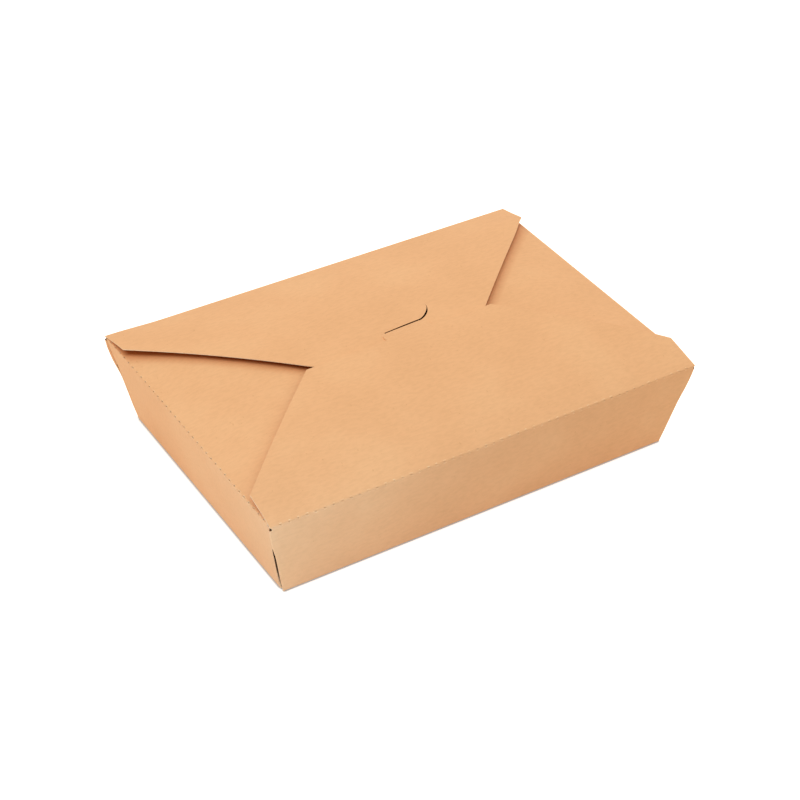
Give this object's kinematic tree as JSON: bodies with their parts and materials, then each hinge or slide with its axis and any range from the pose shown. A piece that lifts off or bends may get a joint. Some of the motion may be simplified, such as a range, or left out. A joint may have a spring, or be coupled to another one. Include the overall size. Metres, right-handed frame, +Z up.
{
  "type": "takeaway box",
  "caption": "Low rectangular takeaway box folded from kraft board, with flared walls and a fold-over top locked by a tongue in a slit.",
  "frame": {"origin": "on the table, under the middle of the floor", "axes": "+X along the long front wall, left to right as seen from the front; +Y from the front to the back; +Z up"},
  "size_m": [0.215, 0.152, 0.0541],
  "materials": {
    "kraft_board": "uncoated brown kraft outside, faint fibre and mottling",
    "kraft_board_flap": "uncoated brown kraft outside, faint fibre and mottling"
  },
  "bodies": {
    "carton": {"carton": "kraft_board"},
    "front_flap": {"front_flap": "kraft_board_flap"}
  },
  "joints": [
    {"name": "front_flap_fold", "type": "hinge", "parent": "carton", "child": "front_flap", "pos_m": [0, -0.0758, 0.0441], "axis": [1, 0, 0], "range_deg": [0, 180]}
  ]
}
